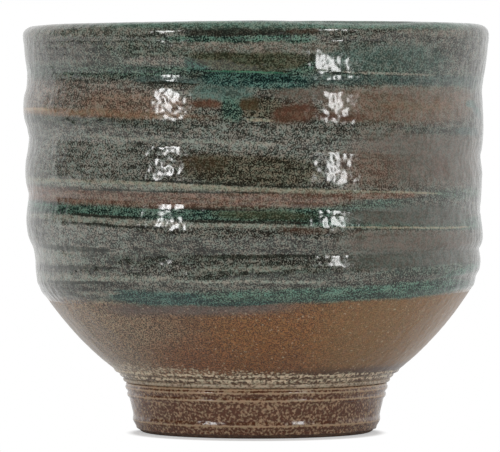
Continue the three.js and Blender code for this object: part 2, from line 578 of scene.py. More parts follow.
class ThrownSkinTree:
    """Geometry nodes that turn an outline about the axis and give it rings, lines and an edge."""

    SWELLINGS = (
        Swelling(81.1, 2.1, 30, 40, 0.36),
        Swelling(89.0, 6.4, 28, 36, -1.0),
        Swelling(82.0, 3.8, -22, 28, -0.35),
        Swelling(39.5, 4.0, -32, 32, -0.35),
        Swelling(39.0, 5.0, -90, 42, -0.9),
        Swelling(73.0, 5.0, -90, 40, 0.5),
        Swelling(57.0, 5.0, 84, 30, -0.4),
        Swelling(58.0, 5.0, -90, 40, 0.2),
        Swelling(44.5, 5.0, 24, 34, -0.24),
    )
    BED_ROWS = 10
    OUTSIDE = 0.3
    RING_START = 2.0
    CALM_RADIUS = 4.0
    LINE_SCALE = 0.42
    LINE_SWAY = 1.3
    WOBBLE_SCALE = 0.032
    DENT_SCALE = 0.11
    DENT_SHARE = 0.4
    PEEL_SCALE = 0.42
    DRIFT = 1.6
    DRIFT_SWAY = 1.1
    DRIFT_SCALE = 0.03
    POOL_SWAY = 2.2
    RAGGED_SCALE = 0.35
    FINE_DETAIL = 3.0
    RIM_LIFT = 0.22
    RIM_START = 84.0
    OFF_CENTRE = -0.4
    OFF_CENTRE_RISE = 5
    OFF_CENTRE_END = 78.0
    OFF_CENTRE_LEFT = 0.2
    WELD = 0.002
    THINNEST = 0.03
    EDGE_SLOPE = 0.1

    def __init__(self, sizes: BowlSizes) -> None:
        """Builds the tree for one bowl's rings.

        Args:
            sizes: the bowl's sizes.
        """
        self.sizes = sizes
        self.tree = bpy.data.node_groups.new("Thrown skin", "GeometryNodeTree")
        self.write = NodeWriter(self.tree)
        kinds = {"Geometry": "Geometry", **number_sockets(SkinSizes), "Coat": "Bool", "Material": "Material"}
        self.write.sockets("INPUT", kinds)
        self.write.sockets("OUTPUT", {"Geometry": "Geometry"})
        self.inputs = self.write.add("NodeGroupInput").outputs
        self._build()

    def identifier(self, name: str) -> str:
        """The identifier of a named input, by which a modifier is set."""
        return self.tree.interface.items_tree[name].identifier

    def _build(self) -> None:
        """Writes the whole tree."""
        w = self.write
        across, upward, _ = w.parts(w.add("GeometryNodeInputPosition").outputs[0])
        self.bearing = w.math("MULTIPLY", across, 2 * math.pi)
        self.sine = w.math("SINE", self.bearing)
        self.cosine = w.math("COSINE", self.bearing)
        self.run = w.product(w.math("ADD", upward, 0.5), self.inputs["Span"])
        sway = w.product(self.inputs["Lean"], self.sine)
        self.length = w.math("SUBTRACT", w.math("ADD", self.run, self.inputs["Start"]), sway)
        self._sample_outline()
        level = self._level()
        clay = self._clay(level)
        face = self._skin(self.inputs["Along"], self._placed(w.total(clay, self._face())), level)
        bed_place = self._placed(w.math("SUBTRACT", clay, self.inputs["Bed"]))
        bed = w.add("GeometryNodeFlipFaces", {0: self._skin(self.BED_ROWS, bed_place, level)})
        kept = {"Switch": self.inputs["Coat"], "True": bed.outputs[0]}
        kept_bed = w.add("GeometryNodeSwitch", kept, input_type="GEOMETRY")
        joined = w.add("GeometryNodeJoinGeometry")
        for mesh in (kept_bed.outputs[0], face):
            w.feed(joined.inputs[0], mesh)
        mesh = joined.outputs[0]
        finishing = {
            "MergeByDistance": {"Distance": self.WELD * MM},
            "SetShadeSmooth": {},
            "RealizeInstances": {},
            "SetMaterial": {"Material": self.inputs["Material"]},
        }
        for kind, inputs in finishing.items():
            mesh = w.add(f"GeometryNode{kind}", {0: mesh, **inputs}).outputs[0]
        w.add("NodeGroupOutput", {0: mesh})

    def _sample_outline(self) -> None:
        """Finds the outline's point and outward normal at each length along it."""
        w = self.write
        inputs = {"Curves": self.inputs["Geometry"], "Length": w.math("MULTIPLY", self.length, MM)}
        sample = w.add("GeometryNodeSampleCurve", inputs, mode="LENGTH")
        radius, _, self.height = w.parts(w.scaled(sample.outputs["Position"], 1 / MM))
        along_radius, _, self.outward = w.parts(sample.outputs["Tangent"])
        self.radius = w.math("MAXIMUM", radius, 0.0)
        self.upward = w.math("MULTIPLY", along_radius, -1.0)
        self.calm = w.smooth(self.radius, 0.0, self.CALM_RADIUS)

    def _level(self) -> Socket:
        """Height along the leaning rings: it is the same all along one groove.

        Returns:
            The level.
        """
        w = self.write
        rings = self.sizes.rings
        turn = w.smooth(self.height, *rings.lean_turns, rings.lean_low, rings.lean_middle)
        fade = w.smooth(self.height, *rings.lean_fades, 0.0, rings.lean_lip - rings.lean_middle)
        return w.total(self.height, w.product(w.total(turn, fade), self.sine))

    def _crest(self, level: Socket) -> Socket:
        """Rings of the wall, from 0 in their grooves to 1 on their crests.

        Args:
            level: height along the leaning rings.

        Returns:
            The rings' share.
        """
        w = self.write
        rings = self.sizes.rings
        drift = w.product(w.swing(self._around(self.DRIFT_SWAY, self.DRIFT_SCALE), 1.0, 1.0), self.DRIFT)
        rise = w.math("SUBTRACT", w.total(level, drift), self.sizes.shoulder_height)
        turns = w.math("MULTIPLY_ADD", rise, (rings.growth - 1) / self.sizes.first_ring, 1.0)
        count = w.math("LOGARITHM", w.math("MAXIMUM", turns, 1.0), rings.growth)
        share = w.math("POWER", w.math("FRACT", count), rings.crest_skew)
        wave = w.math("SINE", w.math("MULTIPLY", share, math.pi))
        softened = w.math("SQRT", w.math("MULTIPLY_ADD", wave, wave, rings.groove_softness))
        outside = w.math("POWER", w.math("MAXIMUM", self.outward, 0.0), 2.0)
        return w.product(softened, outside, w.smooth(rise, 0.0, self.RING_START))

    def _around(self, sway: float, scale: float) -> Socket:
        """A point for noise that follows the rings: it changes slowly along them.

        Args:
            sway: how fast it changes round the bowl.
            scale: how fast it changes along the outline.

        Returns:
            The point.
        """
        w = self.write
        along = w.math("MULTIPLY", self.length, scale)
        return w.vector(w.math("MULTIPLY", self.sine, sway), w.math("MULTIPLY", self.cosine, sway), along)

    def _swelling(self, swelling: Swelling, level: Socket) -> Socket:
        """Relief of one swelling.

        Args:
            swelling: the swelling's sizes.
            level: height along the leaning rings.

        Returns:
            The relief.
        """
        w = self.write
        turn = w.math("SUBTRACT", self.bearing, math.radians(swelling.centre))
        near = w.math("WRAP", turn, math.pi, -math.pi)
        sideways = w.math("DIVIDE", near, math.radians(swelling.reach))
        upward = w.math("DIVIDE", w.math("SUBTRACT", level, swelling.level), swelling.half_height)
        far = w.math("MULTIPLY_ADD", upward, upward, w.product(sideways, sideways))
        outside = w.math("GREATER_THAN", self.outward, self.OUTSIDE)
        return w.product(w.smooth(far, 0.0, 1.0, swelling.depth, 0.0), outside)

    def _clay(self, level: Socket) -> Socket:
        """Relief of the clay itself: rings, finger lines, the lining's spiral and an uneven hand.

        Args:
            level: height along the leaning rings.

        Returns:
            The relief.
        """
        w = self.write
        east = w.product(self.radius, self.sine)
        north = w.product(self.radius, self.cosine)
        point = w.vector(east, north, self.height)
        dents = w.product(w.swing(point, self.DENT_SCALE), self.DENT_SHARE)
        hand = w.product(self.inputs["Wobble"], w.total(w.swing(point, self.WOBBLE_SCALE, 1.0), dents))
        strokes = w.swing(self._around(self.LINE_SWAY, self.LINE_SCALE), 1.0, self.FINE_DETAIL)
        lines = w.product(self.inputs["Line depth"], strokes)
        peel = w.product(self.inputs["Peel"], w.swing(point, self.PEEL_SCALE, 1.0))
        phase = w.math("DIVIDE", self.length, self.inputs["Spiral pitch"])
        turn = w.math("MULTIPLY_ADD", phase, 2 * math.pi, self.bearing)
        spiral = w.product(self.inputs["Spiral depth"], w.math("SINE", turn))
        pressed = w.total(*[self._swelling(swelling, level) for swelling in self.SWELLINGS])
        rings = w.total(w.product(self.inputs["Ring depth"], self._crest(level)), pressed)
        return w.math("ADD", rings, w.product(self.calm, w.total(hand, lines, peel, spiral)))

    def _face(self) -> Socket:
        """Height of the coat's face over the clay: it runs out under its neighbours at both edges.

        Returns:
            The height.
        """
        w = self.write
        pools = w.noise(self._swayed(self.POOL_SWAY), 1.0, self.FINE_DETAIL)
        pooled = w.product(self.inputs["Pool"], pools)
        full = w.total(self.inputs["Height"], pooled, self.inputs["Bed"])
        edge_point = self._swayed(self.sizes.lip_radius * self.RAGGED_SCALE)
        ragged = w.product(self.inputs["Ragged"], w.noise(edge_point, 1.0, self.FINE_DETAIL))
        left = w.math("SUBTRACT", self.inputs["Span"], self.run)
        lower = w.smooth(self.run, ragged, w.math("ADD", ragged, self.inputs["Lower feather"]))
        upper = w.smooth(left, ragged, w.math("ADD", ragged, self.inputs["Upper feather"]))
        upper = w.math("MAXIMUM", upper, w.math("LESS_THAN", self.inputs["Upper feather"], self.WELD))
        inward = w.product(w.math("MINIMUM", self.run, left), self.EDGE_SLOPE)
        thin = w.math("MINIMUM", inward, self.THINNEST)
        thickness = w.math("MAXIMUM", w.product(full, lower, upper), thin)
        covered = w.math("SUBTRACT", thickness, self.inputs["Bed"])
        return w.between(self.inputs["Coat"], self.inputs["Height"], covered)

    def _swayed(self, sway: float) -> Socket:
        """A point for noise that changes only round the bowl, and from piece to piece."""
        w = self.write
        return w.vector(w.product(self.sine, sway), w.product(self.cosine, sway), self.inputs["Start"])

    def _placed(self, offset: Socket) -> Socket:
        """The outline's point, moved off the clay and turned to its bearing, in metres.

        Args:
            offset: how far it is moved.

        Returns:
            The point.
        """
        w = self.write
        radius = w.math("MULTIPLY_ADD", self.outward, offset, self.radius)
        radius = w.product(radius, w.math("GREATER_THAN", self.radius, self.WELD))
        lift = w.smooth(self.height, self.RIM_START, self.sizes.clay_top, 0.0, self.RIM_LIFT)
        height = w.total(self.height, w.product(self.upward, offset), w.product(lift, self.sine))
        low = self.sizes.foot_height
        leaning = w.smooth(self.height, low, self.OFF_CENTRE_RISE * low, 0.0, self.OFF_CENTRE)
        ends = (self.OFF_CENTRE_END, self.sizes.wall_top, 1.0, self.OFF_CENTRE_LEFT)
        upright = w.smooth(self.height, *ends)
        x = w.total(w.product(radius, self.sine), w.product(leaning, upright))
        y = w.product(radius, self.cosine, -1.0)
        return w.scaled(w.vector(x, y, height), MM)

    def _skin(self, rows: Feed, place: Feed, level: Feed) -> Socket:
        """A grid laid round the axis, with the rings' level kept on its points.

        Args:
            rows: rows of faces along the outline.
            place: where each point goes.
            level: height along the leaning rings.

        Returns:
            The mesh.
        """
        w = self.write
        columns = w.math("ADD", self.inputs["Around"], 1.0)
        count = w.math("ADD", rows, 1.0)
        grid = {"Size X": 1.0, "Size Y": 1.0, "Vertices X": columns, "Vertices Y": count}
        mesh = w.add("GeometryNodeMeshGrid", grid).outputs["Mesh"]
        inputs = {"Geometry": mesh, "Name": "level", "Value": level}
        store = w.add("GeometryNodeStoreNamedAttribute", inputs, data_type="FLOAT", domain="POINT")
        return w.add("GeometryNodeSetPosition", {0: store.outputs[0], "Position": place}).outputs[0]

    def throw(self, name: str, outline: Points, skin: SkinSizes, material: Material) -> Piece:
        """Throws one piece and makes it a plain mesh.

        Args:
            name: the piece's name.
            outline: its section, as points of radius and height.
            skin: the stretch of outline to cover, and its relief.
            material: its finish.

        Returns:
            The piece, at the origin.
        """
        curve = bpy.data.curves.new(f"{name}_outline", "CURVE")
        curve.dimensions = "3D"
        spline = curve.splines.new("POLY")
        spline.points.add(len(outline) - 1)
        for point, (radius, height) in zip(spline.points, outline):
            point.co = (radius * MM, 0.0, height * MM, 1.0)
        blank = bpy.data.objects.new(f"{name}_blank", curve)
        bpy.context.collection.objects.link(blank)
        modifier = blank.modifiers.new("Thrown skin", "NODES")
        modifier.node_group = self.tree
        values = {**numbers(skin), "Coat": skin.build is Build.COAT, "Material": material}
        for key, value in values.items():
            modifier[self.identifier(key)] = value
        depsgraph = bpy.context.evaluated_depsgraph_get()
        mesh = bpy.data.meshes.new_from_object(blank.evaluated_get(depsgraph), depsgraph=depsgraph)
        mesh.name = name
        bpy.data.objects.remove(blank)
        bpy.data.curves.remove(curve)
        piece = bpy.data.objects.new(name, mesh)
        bpy.context.collection.objects.link(piece)
        return piece


# Shared effects of the finishes


class ShaderGroup:
    """A shader node group with named sockets, built once and placed in many materials."""

    NAME = ""
    INPUTS: dict[str, str] = {}
    OUTPUTS: dict[str, str] = {}

    def __init__(self) -> None:
        """Builds the group's tree."""
        self.tree = bpy.data.node_groups.new(self.NAME, "ShaderNodeTree")
        self.write = NodeWriter(self.tree)
        self.write.sockets("INPUT", self.INPUTS)
        self.write.sockets("OUTPUT", self.OUTPUTS)
        self.inputs = self.write.add("NodeGroupInput").outputs
        self.write.add("NodeGroupOutput", self.outputs())

    def outputs(self) -> Feeds:
        """Writes the group's nodes.

        Returns:
            A socket for each of the group's outputs.
        """
        raise NotImplementedError

    def place(self, write: NodeWriter, inputs: Feeds | None = None) -> Outputs:
        """Places the group in another tree."""
        return write.add("ShaderNodeGroup", inputs, node_tree=self.tree).outputs


class WallPlace(ShaderGroup):
    """Where a point lies on the bowl: its level along the rings, its bearing and its place."""

    NAME = "Place on bowl"
    OUTPUTS = {
        "Level": "Float", "Bearing": "Float", "Point": "Vector", "Ragged": "Float", "Streak": "Float",
    }
    FLOW = 0.16
    SWAY = 0.4
    BROAD_SCALE = 0.5
    BROAD_SWING = 2.6
    FINE_SCALE = 0.9
    FINE_SWING = 1.7
    STREAK_SCALE = 1.15
    STREAK_DETAIL = 3.0

    def outputs(self) -> Feeds:
        """Reads the rings' level and the object's own coordinates, in millimetres and degrees.

        Returns:
            A socket for each of the group's outputs.
        """
        w = self.write
        level = w.add("ShaderNodeAttribute", attribute_name="level").outputs["Fac"]
        point = w.scaled(w.add("ShaderNodeTexCoord").outputs["Object"], 1 / MM)
        x, y, _ = w.parts(point)
        bearing = w.math("DEGREES", w.math("ARCTAN2", x, w.math("MULTIPLY", y, -1.0)))
        flow = w.vector(w.product(x, self.FLOW), w.product(y, self.FLOW), level)
        broad = w.product(w.swing(flow, self.BROAD_SCALE), self.BROAD_SWING)
        fine = w.product(w.swing(point, self.FINE_SCALE), self.FINE_SWING)
        ragged = w.total(broad, fine)
        swayed = w.math("MULTIPLY_ADD", ragged, self.SWAY, bearing)
        streak = w.noise(flow, self.STREAK_SCALE, self.STREAK_DETAIL)
        return {"Level": level, "Bearing": swayed, "Point": point, "Ragged": ragged, "Streak": streak}


@dataclass(frozen=True)
class GlazeZone:
    """One zone of glaze: millimetres along the rings, and degrees from the front to the right."""

    glaze: Glaze
    height: float
    half_height: float
    centre: float = 0.0
    reach: float = 900.0
    lean: float = 0.0
    taper: float = 0.0
    softness: float = 0.4
    raggedness: float = 0.5
    strength: float = 1.0

    def feeds(self) -> Feeds:
        """The zone's colours and sizes, by the names of the group's inputs."""
        colours = {f"Zone {name.lower()}": value for name, value in self.glaze.colours().items()}
        return {**colours, **numbers(self)}


Zones = tuple[GlazeZone, ...]


class GlazeZoneGroup(ShaderGroup):
    """Lays one zone of glaze over the colours so far: an oval on the wall, or a band if it is long."""

    NAME = "Glaze zone"
    INPUTS = {
        "Ground": "Color", "Fleck": "Color", "Cover": "Float", "Level": "Float", "Bearing": "Float",
        "Ragged": "Float", "Zone ground": "Color", "Zone fleck": "Color", "Zone cover": "Float",
        **number_sockets(GlazeZone),
    }
    OUTPUTS = {"Ground": "Color", "Fleck": "Color", "Cover": "Float"}
    HALF_TURN = 180.0
    SQUARENESS = 4.0

    def outputs(self) -> Feeds:
        """Measures how far a point is from the zone's middle, and blends inside it.

        Returns:
            A socket for each of the group's outputs.
        """
        w = self.write
        i = self.inputs
        apart = w.math("SUBTRACT", i["Bearing"], i["Centre"])
        turn = w.math("WRAP", apart, self.HALF_TURN, -self.HALF_TURN)
        level = w.math("MULTIPLY_ADD", i["Ragged"], i["Raggedness"], i["Level"])
        share = w.math("DIVIDE", turn, i["Reach"])
        middle = w.math("MULTIPLY_ADD", i["Lean"], share, i["Height"])
        upward = w.math("DIVIDE", w.math("SUBTRACT", level, middle), i["Half height"])
        held = w.math("MAXIMUM", w.math("MINIMUM", upward, 1.0), -1.0)
        sideways = w.math("DIVIDE", share, w.math("MULTIPLY_ADD", held, i["Taper"], 1.0))
        far = w.math("POWER", w.math("ABSOLUTE", sideways), self.SQUARENESS)
        distance = w.math("SQRT", w.math("MULTIPLY_ADD", upward, upward, far))
        inner = w.math("SUBTRACT", 1.0, i["Softness"])
        outer = w.math("ADD", 1.0, i["Softness"])
        mask = w.product(w.smooth(distance, inner, outer, 1.0, 0.0), i["Strength"])
        return {
            "Ground": w.blend(mask, i["Ground"], i["Zone ground"]),
            "Fleck": w.blend(mask, i["Fleck"], i["Zone fleck"]),
            "Cover": w.between(mask, i["Cover"], i["Zone cover"]),
        }

    def lay(self, write: NodeWriter, base: Glaze, zones: Zones, spot: Feeds) -> Feeds:
        """Lays zones over a base glaze, one over another.

        Args:
            write: the writer of the tree that they are placed in.
            base: the glaze under them all.
            zones: the zones, the lowest first.
            spot: sockets for the level, bearing and raggedness of a point.

        Returns:
            The colours and the cover that result.
        """
        colours = base.colours()
        for zone in zones:
            outputs = self.place(write, {**colours, **spot, **zone.feeds()})
            colours = {name: outputs[name] for name in colours}
        return colours


class FleckGroup(ShaderGroup):
    """Flecks that float in a glaze: fine pale worms over a darker ground, and the skin's fine relief."""

    NAME = "Glaze flecks"
    INPUTS = {
        "Ground": "Color", "Fleck": "Color", "Cover": "Float", "Point": "Vector", "Streak": "Float",
        "Streaks": "Float", "Grain": "Float",
    }
    OUTPUTS = {"Color": "Color", "Fleck mask": "Float", "Relief": "Float"}
    WARM = (1.1, 0.97, 0.91, 1.0)
    COOL = (0.9, 1.03, 0.99, 1.0)
    EDGE = 0.11
    EDGES = (0.72, 0.28)
    CLUMP_SCALE = 0.5
    CLUMPING = 0.55
    HUE_SCALE = 1.1
    HUE_TURN = (0.35, 0.65)
    PEEL_SCALE = 0.72
    BROAD_PEEL = 1.5
    BROAD_PEEL_SCALE = 0.3

    def outputs(self) -> Feeds:
        """Cuts the flecks out of fine noise, by how much of the ground they cover.

        Returns:
            A socket for each of the group's outputs.
        """
        w = self.write
        i = self.inputs
        grain = w.noise(w.scaled(i["Point"], i["Grain"]), 1.0, 2.0)
        clumps = w.product(w.swing(i["Point"], self.CLUMP_SCALE), self.CLUMPING)
        lines = w.math("SUBTRACT", i["Streak"], 0.5)
        cover = w.total(i["Cover"], w.product(w.total(clumps, lines), i["Streaks"]))
        edge = w.ramp(cover, 0.0, 1.0, *self.EDGES)
        mask = w.smooth(grain, w.math("SUBTRACT", edge, self.EDGE), w.math("ADD", edge, self.EDGE))
        hue = w.smooth(w.noise(i["Point"], self.HUE_SCALE, 1.0), *self.HUE_TURN)
        tint = w.blend(hue, self.WARM, self.COOL)
        mixed = w.blend(mask, i["Ground"], i["Fleck"])
        colour = w.blend(i["Streaks"], mixed, tint, "MULTIPLY")
        peel = w.noise(i["Point"], self.PEEL_SCALE, 0.0)
        broad = w.noise(i["Point"], self.BROAD_PEEL_SCALE, 0.0)
        relief = w.math("MULTIPLY_ADD", broad, self.BROAD_PEEL, peel)
        return {"Color": colour, "Fleck mask": mask, "Relief": relief}

    def float_in(self, write: NodeWriter, place: Outputs, colours: Feeds, streaks: Feed,
                 grain: float) -> Outputs:
        """Floats flecks of one grain, gathered more or less in streaks, in a glaze's colours."""
        skin = {"Point": place["Point"], "Streak": place["Streak"], "Streaks": streaks, "Grain": grain}
        return self.place(write, {**colours, **skin})


class WallColours(ShaderGroup):
    """The colours of the whole outside, from the foot seam to the lip, zone over zone."""

    NAME = "Wall colours"
    OUTPUTS = {"Color": "Color", "Fleck mask": "Float", "Relief": "Float"}
    GRAIN = 3.3
    STREAKS = (0.1, 0.85)
    STREAKS_START = (30.0, 34.0)
    ZONES = (
        # Lower wall: sandy iron glaze, grey to the left, orange in front and olive to the right
        GlazeZone(Glaze.SANDY, 18, 14, softness=0.05),
        GlazeZone(Glaze.GREY_SAND, 24, 14, -72, 46, softness=0.6),
        GlazeZone(Glaze.RED_SAND, 19, 4, -4, 34, softness=0.8),
        GlazeZone(Glaze.ORANGE_SAND, 24.5, 6.5, 9, 22, softness=0.8),
        GlazeZone(Glaze.OLIVE_SAND, 24, 14, 64, 42, softness=0.6),
        GlazeZone(Glaze.GREY_SAND, 26, 12, 165, 60, softness=0.6),
        GlazeZone(Glaze.MAUVE_SAND, 30.8, 1.4, -18, 27, softness=0.6),
        GlazeZone(Glaze.DARK_SAND, 13.4, 1.9, softness=0.6),
        # Lowest ring: grey, smooth and pinkish to the right, with pale and dark strokes
        GlazeZone(Glaze.ASH, 64, 31, softness=0.03),
        GlazeZone(Glaze.LIGHT_ASH, 45.2, 3.6, -48, 17, softness=0.7),
        GlazeZone(Glaze.DARK_ASH, 38.4, 1.8, 3, 18, softness=0.7, raggedness=0.7),
        GlazeZone(Glaze.SMOOTH_PINK, 45.6, 3.4, 46, 25, softness=0.5),
        GlazeZone(Glaze.SMOOTH_GREY, 40.6, 2.8, 46, 25, softness=0.5),
        GlazeZone(Glaze.GREEN_ASH, 37.6, 1.0, 52, 20),
        GlazeZone(Glaze.DARK_ASH, 41.6, 1.0, -24, 16, strength=0.8),
        GlazeZone(Glaze.DARK_LINE, 42.0, 0.4, 1, 14, raggedness=0.35),
        GlazeZone(Glaze.PALE_ASH, 39.3, 0.5, -2, 15, softness=0.6, strength=0.7),
        GlazeZone(Glaze.PALE_ASH, 37.7, 0.6, -38, 18, raggedness=0.25),
        GlazeZone(Glaze.PALE_ASH, 36.6, 0.35, -3, 19, lean=-0.6, raggedness=0.3),
        GlazeZone(Glaze.WHITE_ASH, 41.6, 1.2, -68, 20, softness=0.6),
        GlazeZone(Glaze.WHITE_ASH, 37.6, 1.1, -68, 24, softness=0.6),
        GlazeZone(Glaze.DARK_LINE, 42.8, 0.3, -58, 20, raggedness=0.3, strength=0.8),
        GlazeZone(Glaze.DARK_LINE, 40.0, 0.35, -58, 20, raggedness=0.3, strength=0.8),
        GlazeZone(Glaze.DARK_LINE, 36.8, 0.3, -54, 16, raggedness=0.3, strength=0.8),
        # Copper in the lowest groove, bright where it is thin, with painted shadow under its lower edge in
        # front
        GlazeZone(Glaze.TEAL, 33.0, 1.5, 20, 62),
        GlazeZone(Glaze.TEAL, 33.0, 1.5, 160, 70),
        GlazeZone(Glaze.BLUE_TEAL, 33.4, 1.5, -26, 15, lean=-0.6, softness=0.25),
        GlazeZone(Glaze.TURQUOISE, 33.7, 1.0, 1, 15, softness=0.6, raggedness=1.0),
        GlazeZone(Glaze.TURQUOISE, 33.7, 1.1, 38, 26, softness=0.6, raggedness=0.8),
        GlazeZone(Glaze.TURQUOISE, 36.8, 1.0, 68, 14, lean=1.2, softness=0.6),
        # Painted shadow: a thin dark line in deep teal under the band's lower edge, in front
        GlazeZone(Glaze.DEEP_TEAL, 31.8, 0.4, -4, 10, raggedness=0.3),
        GlazeZone(Glaze.PALE_ASH, 34.6, 0.4, -45, 8, raggedness=0.2),
        # Copper in the middle groove, with a dark lower edge and a pale line below
        GlazeZone(Glaze.TEAL, 50.6, 1.4, raggedness=0.3),
        GlazeZone(Glaze.TEAL, 51.8, 2.2, 4, 16, lean=0.7, raggedness=0.3),
        GlazeZone(Glaze.SMOOTH_GREY, 52.2, 2.6, 44, 24, softness=0.5),
        GlazeZone(Glaze.TEAL, 54.1, 1.3, 22, 17, lean=1.0, softness=0.6, strength=0.7),
        GlazeZone(Glaze.GREEN_OLIVE, 51.2, 1.1, 2, 12, softness=0.6),
        GlazeZone(Glaze.DEEP_TEAL, 53.3, 0.6, 6.5, 3.4),
        GlazeZone(Glaze.DARK_LINE, 52.0, 0.3, -14, 16, lean=0.3, raggedness=0.25),
        GlazeZone(Glaze.DARK_LINE, 49.5, 0.35, -2, 15, lean=0.3, raggedness=0.25),
        GlazeZone(Glaze.DARK_LINE, 49.3, 0.3, -40, 12, raggedness=0.25),
        GlazeZone(Glaze.PALE_ASH, 48.3, 0.6, -46, 38, raggedness=0.2),
        GlazeZone(Glaze.PALE_ASH, 48.7, 0.45, -2, 14, lean=0.2, raggedness=0.3),
        GlazeZone(Glaze.CREAM, 49.5, 0.22, 44, 24, lean=0.3, raggedness=0.25),
        GlazeZone(Glaze.DARK_LINE, 47.4, 0.3, -38, 16, raggedness=0.3, strength=0.8),
        GlazeZone(Glaze.RUST, 48.2, 0.6, 11.5, 6, softness=0.7, strength=0.5),
        # Red-brown and cream over the middle groove, rising and thinning to the right
        GlazeZone(Glaze.RED_BROWN, 53.4, 1.7, -58, 46, raggedness=0.3),
        GlazeZone(Glaze.RED_BROWN, 54.3, 1.75, -6, 30, lean=1.0, raggedness=0.3),
        GlazeZone(Glaze.RED_BROWN, 56.2, 0.7, 28, 16, lean=0.6, raggedness=0.2),
        GlazeZone(Glaze.DARK_LINE, 55.5, 0.22, -24, 28, lean=0.6, raggedness=0.2, strength=0.8),
        GlazeZone(Glaze.PALE_ASH, 56.4, 0.85, -56, 46, lean=0.3, raggedness=0.3, softness=0.6),
        GlazeZone(Glaze.CREAM, 56.9, 0.35, -48, 34, lean=0.3, raggedness=0.25, softness=0.6, strength=0.7),
        GlazeZone(Glaze.CREAM, 56.8, 0.5, 2, 24, lean=0.15, raggedness=0.25, softness=0.6, strength=0.75),
        GlazeZone(Glaze.CREAM, 57.2, 0.22, 36, 17, lean=0.1, raggedness=0.2),
        GlazeZone(Glaze.DARK_LINE, 57.7, 0.28, -9, 24, raggedness=0.2),
        GlazeZone(Glaze.TURQUOISE, 57.4, 1.2, 64, 15, softness=0.6, strength=0.6),
        # Third ring: a dark olive pool in front, smooth and pinkish to the right
        GlazeZone(Glaze.LIGHT_ASH, 63.4, 5.0, -51, 20, softness=0.7),
        GlazeZone(Glaze.SMOOTH_PINK, 65, 6.2, 50, 28),
        GlazeZone(Glaze.LIGHT_ASH, 67.6, 3.6, -2, 24, softness=0.7, strength=0.8),
        GlazeZone(Glaze.RED_BROWN, 62.0, 4.0, 28, 8, softness=0.8, strength=0.6),
        GlazeZone(Glaze.RUST, 63.2, 2.2, 52.5, 3.6, softness=0.7, strength=0.5),
        GlazeZone(Glaze.DARK_OLIVE, 61.0, 3.2, -1.5, 17.5, softness=0.25),
        GlazeZone(Glaze.BROWN_OLIVE, 62.2, 1.8, -13, 6, softness=0.7, strength=0.6),
        GlazeZone(Glaze.PALE_ASH, 66.9, 0.45, -20, 30, raggedness=0.3, strength=0.8),
        GlazeZone(Glaze.DARK_ASH, 70.4, 1.0, -52, 36, raggedness=0.3, strength=0.8),
        GlazeZone(Glaze.DARK_ASH, 71.4, 0.9, 52, 14, strength=0.8),
        GlazeZone(Glaze.BLUE_GREY, 71.4, 0.8, 67, 8),
        # Under the lip: sea grey to the right, darker to the left
        GlazeZone(Glaze.SEA_GREY, 86.2, 2.8, 35, 19, softness=0.6, strength=0.75),
        GlazeZone(Glaze.GREEN_ASH, 87.0, 3.6, -28, 14, softness=0.7, strength=0.6),
        GlazeZone(Glaze.PALE_ASH, 92.4, 1.6, -52, 24, softness=0.7, strength=0.5),
        GlazeZone(Glaze.PINK_SPECK, 84.8, 1.0, -26, 8, softness=0.6, strength=0.6),
        # Upper ring: terracotta where the glaze is thin, with an orange edge to the left
        GlazeZone(Glaze.PINK_SPECK, 76.0, 3.4, -58, 36, softness=0.6),
        GlazeZone(Glaze.RUST_SPECK, 74.4, 2.7, -32, 16),
        GlazeZone(Glaze.ORANGE_LINE, 72.2, 0.8, -56, 40, raggedness=0.35, softness=0.7),
        GlazeZone(Glaze.CREAM_ORANGE, 72.6, 0.35, -74, 13, raggedness=0.2),
        GlazeZone(Glaze.SMOOTH_PINK, 78.2, 1.4, 14, 10, softness=0.6),
        GlazeZone(Glaze.TERRACOTTA, 77.0, 4.2, 44, 27, lean=0.9, softness=0.3, raggedness=0.35),
        GlazeZone(Glaze.ORANGE, 76.4, 1.0, 42, 10, softness=0.8, strength=0.6),
        GlazeZone(Glaze.ORANGE, 77.4, 1.3, 53, 4, softness=0.7, strength=0.6),
        GlazeZone(Glaze.RUST, 73.6, 0.9, 21, 7, softness=0.6, strength=0.8),
        GlazeZone(Glaze.SEA_GREY, 77.6, 1.9, -8.5, 7.5),
        GlazeZone(Glaze.TEAL, 74.2, 2.6, -6, 2.6, softness=0.5),
        GlazeZone(Glaze.RUST, 75.2, 0.9, -12.3, 3.6, softness=0.6),
        GlazeZone(Glaze.BROWN_OLIVE, 75.3, 1.5, -1.4, 2.8),
        GlazeZone(Glaze.DARK_OLIVE, 75.2, 1.6, 3.2, 2.8),
        GlazeZone(Glaze.DARK_OLIVE, 73.3, 0.8, 0, 3.6),
        GlazeZone(Glaze.CREAM, 72.1, 0.32, 1, 3.6, raggedness=0.2),
        GlazeZone(Glaze.RUST, 73.9, 2.2, 9.0, 5.4, lean=0.9, softness=0.45, raggedness=0.4),
        # Copper in the uppermost groove, dark under an olive pool, and painted shade of a pit on the right
        GlazeZone(Glaze.TEAL, 82.3, 1.6, softness=0.8, strength=0.45),
        GlazeZone(Glaze.TEAL, 82.2, 1.2, -28, 12, softness=0.7, strength=0.6),
        GlazeZone(Glaze.BLUE_GREY, 80.3, 0.9, -22, 10),
        GlazeZone(Glaze.DARK_LINE, 79.6, 0.3, -21, 7, raggedness=0.3),
        GlazeZone(Glaze.BLUE_GREY, 81.9, 1.0, 38, 44, lean=0.6, raggedness=0.3, strength=0.8),
        GlazeZone(Glaze.PALE_ASH, 83.2, 0.22, 34, 14, raggedness=0.3),
        GlazeZone(Glaze.BLUE_TEAL, 80.7, 1.6, 0, 13.5, softness=0.3),
        GlazeZone(Glaze.DEEP_TEAL, 81.6, 0.9, -1, 12, raggedness=0.35),
        GlazeZone(Glaze.DEEP_TEAL, 84.2, 1.7, -14.5, 3.0),
        GlazeZone(Glaze.TEAL, 84.3, 1.9, 10.5, 3.8),
        GlazeZone(Glaze.OLIVE, 85.0, 2.3, -1, 14, taper=0.28, softness=0.3, raggedness=0.4),
